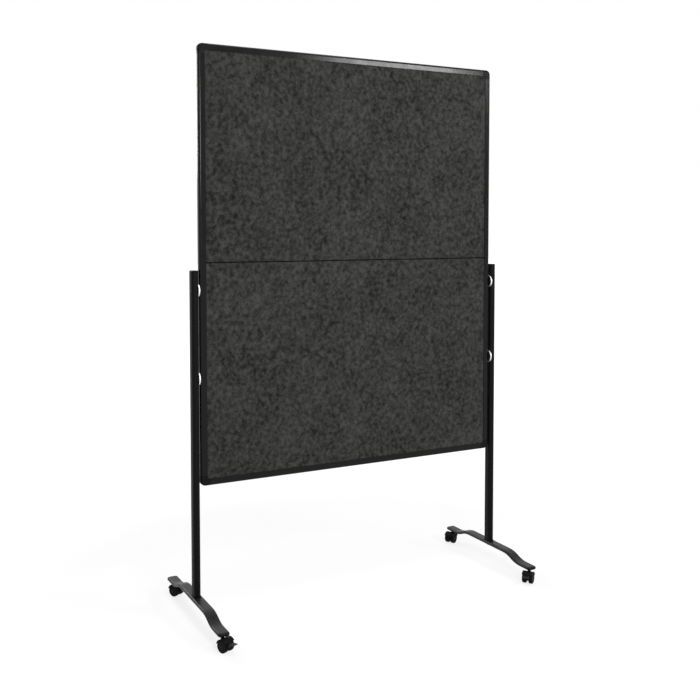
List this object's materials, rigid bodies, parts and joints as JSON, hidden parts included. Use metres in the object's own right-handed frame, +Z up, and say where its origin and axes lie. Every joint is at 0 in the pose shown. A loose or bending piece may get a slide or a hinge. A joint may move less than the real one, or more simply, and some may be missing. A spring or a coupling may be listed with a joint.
{
  "type": "mobile pinboard",
  "caption": "Tall felt-covered pinboard in a rounded black frame whose upper half folds back, on flat-oval uprights and grey castored feet with brakes.",
  "frame": {"origin": "on the floor, below the middle of the board", "axes": "+Z up, +X to the viewer's right, the front faces -Y"},
  "size_m": [1.2746, 0.5965, 1.964],
  "materials": {
    "felt": "dark grey pressed felt, mottled",
    "fibreboard": "raw soft fibreboard",
    "softwood": "planed softwood",
    "rail_black": "black anodised, satin",
    "moulded_black": "fine-grained black moulding",
    "tube_black": "black powder coat, satin",
    "foot_grey": "dark grey powder coat, satin",
    "spacer_chrome": "bright chrome",
    "soft_black": "black rubber washer",
    "zinc_steel": "bright zinc",
    "hinge_black": "black painted steel",
    "castor_black": "black moulding",
    "wheel_black": "black moulded wheel",
    "pedal_grey": "grey moulding"
  },
  "bodies": {
    "stand": {"lower_left_rail": "rail_black", "lower_right_rail": "rail_black", "bottom_rail": "rail_black", "bottom_left_corner": "moulded_black", "bottom_right_corner": "moulded_black", "lower_end_plugs": "moulded_black", "lower_core": "fibreboard", "lower_batten": "softwood", "lower_felt_front": "felt", "lower_felt_back": "felt", "hinge_lower_leaves": "hinge_black", "hinge_pins": "zinc_steel", "hinge_lower_screws": "zinc_steel", "left_upright": "tube_black", "right_upright": "tube_black", "upright_caps": "moulded_black", "upright_base_plugs": "moulded_black", "board_bolts": "zinc_steel", "rail_inserts": "zinc_steel", "spacer_washers": "soft_black", "spacer_discs": "spacer_chrome", "access_plugs": "moulded_black", "left_foot": "foot_grey", "right_foot": "foot_grey", "foot_end_plugs": "moulded_black", "foot_bolts": "zinc_steel", "castor_stems": "zinc_steel"},
    "upper_board": {"upper_left_rail": "rail_black", "upper_right_rail": "rail_black", "top_rail": "rail_black", "top_left_corner": "moulded_black", "top_right_corner": "moulded_black", "upper_end_plugs": "moulded_black", "upper_core": "fibreboard", "upper_batten": "softwood", "upper_felt_front": "felt", "upper_felt_back": "felt", "hinge_upper_leaves": "hinge_black", "hinge_upper_screws": "zinc_steel"},
    "left_lock": {"left_lock_bolt": "zinc_steel"},
    "right_lock": {"right_lock_bolt": "zinc_steel"},
    "front_left_castor": {"front_left_castor_housing": "castor_black", "front_left_castor_axle": "zinc_steel"},
    "front_left_wheel_a": {"front_left_wheel_a": "wheel_black"},
    "front_left_wheel_b": {"front_left_wheel_b": "wheel_black"},
    "front_left_brake": {"front_left_brake_pedal": "pedal_grey"},
    "rear_left_castor": {"rear_left_castor_housing": "castor_black", "rear_left_castor_axle": "zinc_steel"},
    "rear_left_wheel_a": {"rear_left_wheel_a": "wheel_black"},
    "rear_left_wheel_b": {"rear_left_wheel_b": "wheel_black"},
    "front_right_castor": {"front_right_castor_housing": "castor_black", "front_right_castor_axle": "zinc_steel"},
    "front_right_wheel_a": {"front_right_wheel_a": "wheel_black"},
    "front_right_wheel_b": {"front_right_wheel_b": "wheel_black"},
    "front_right_brake": {"front_right_brake_pedal": "pedal_grey"},
    "rear_right_castor": {"rear_right_castor_housing": "castor_black", "rear_right_castor_axle": "zinc_steel"},
    "rear_right_wheel_a": {"rear_right_wheel_a": "wheel_black"},
    "rear_right_wheel_b": {"rear_right_wheel_b": "wheel_black"}
  },
  "joints": [
    {"name": "fold", "type": "hinge", "parent": "stand", "child": "upper_board", "pos_m": [0, 0.015, 1.227], "axis": [-1, 0, 0], "range_deg": [0, 180]},
    {"name": "left_lock_slide", "type": "slide", "parent": "stand", "child": "left_lock", "axis": [0, 0, 1], "range_m": [0, 0.01]},
    {"name": "right_lock_slide", "type": "slide", "parent": "stand", "child": "right_lock", "axis": [0, 0, 1], "range_m": [0, 0.01]},
    {"name": "front_left_swivel", "type": "hinge", "parent": "stand", "child": "front_left_castor", "pos_m": [-0.6164, -0.258, 0.0495], "axis": [0, 0, 1], "continuous": true},
    {"name": "front_left_wheel_a_spin", "type": "hinge", "parent": "front_left_castor", "child": "front_left_wheel_a", "pos_m": [-0.61078, -0.27191, 0.0205], "axis": [0.9272, 0.3746, 0], "continuous": true},
    {"name": "front_left_wheel_b_spin", "type": "hinge", "parent": "front_left_castor", "child": "front_left_wheel_b", "pos_m": [-0.61078, -0.27191, 0.0205], "axis": [0.9272, 0.3746, 0], "continuous": true},
    {"name": "front_left_brake_press", "type": "hinge", "parent": "front_left_castor", "child": "front_left_brake", "pos_m": [-0.60199, -0.29368, 0.03095], "axis": [0.9272, 0.3746, 0], "range_deg": [0, 20]},
    {"name": "rear_left_swivel", "type": "hinge", "parent": "stand", "child": "rear_left_castor", "pos_m": [-0.6164, 0.258, 0.0495], "axis": [0, 0, 1], "continuous": true},
    {"name": "rear_left_wheel_a_spin", "type": "hinge", "parent": "rear_left_castor", "child": "rear_left_wheel_a", "pos_m": [-0.60936, 0.24476, 0.0205], "axis": [0.8829, 0.4695, 0], "continuous": true},
    {"name": "rear_left_wheel_b_spin", "type": "hinge", "parent": "rear_left_castor", "child": "rear_left_wheel_b", "pos_m": [-0.60936, 0.24476, 0.0205], "axis": [0.8829, 0.4695, 0], "continuous": true},
    {"name": "front_right_swivel", "type": "hinge", "parent": "stand", "child": "front_right_castor", "pos_m": [0.6164, -0.258, 0.0495], "axis": [0, 0, 1], "continuous": true},
    {"name": "front_right_wheel_a_spin", "type": "hinge", "parent": "front_right_castor", "child": "front_right_wheel_a", "pos_m": [0.60427, -0.26682, 0.0205], "axis": [0.5878, -0.809, 0], "continuous": true},
    {"name": "front_right_wheel_b_spin", "type": "hinge", "parent": "front_right_castor", "child": "front_right_wheel_b", "pos_m": [0.60427, -0.26682, 0.0205], "axis": [0.5878, -0.809, 0], "continuous": true},
    {"name": "front_right_brake_press", "type": "hinge", "parent": "front_right_castor", "child": "front_right_brake", "pos_m": [0.58527, -0.28062, 0.03095], "axis": [0.5878, -0.809, 0], "range_deg": [0, 20]},
    {"name": "rear_right_swivel", "type": "hinge", "parent": "stand", "child": "rear_right_castor", "pos_m": [0.6164, 0.258, 0.0495], "axis": [0, 0, 1], "continuous": true},
    {"name": "rear_right_wheel_a_spin", "type": "hinge", "parent": "rear_right_castor", "child": "rear_right_wheel_a", "pos_m": [0.60316, 0.25096, 0.0205], "axis": [0.4695, -0.8829, 0], "continuous": true},
    {"name": "rear_right_wheel_b_spin", "type": "hinge", "parent": "rear_right_castor", "child": "rear_right_wheel_b", "pos_m": [0.60316, 0.25096, 0.0205], "axis": [0.4695, -0.8829, 0], "continuous": true}
  ]
}
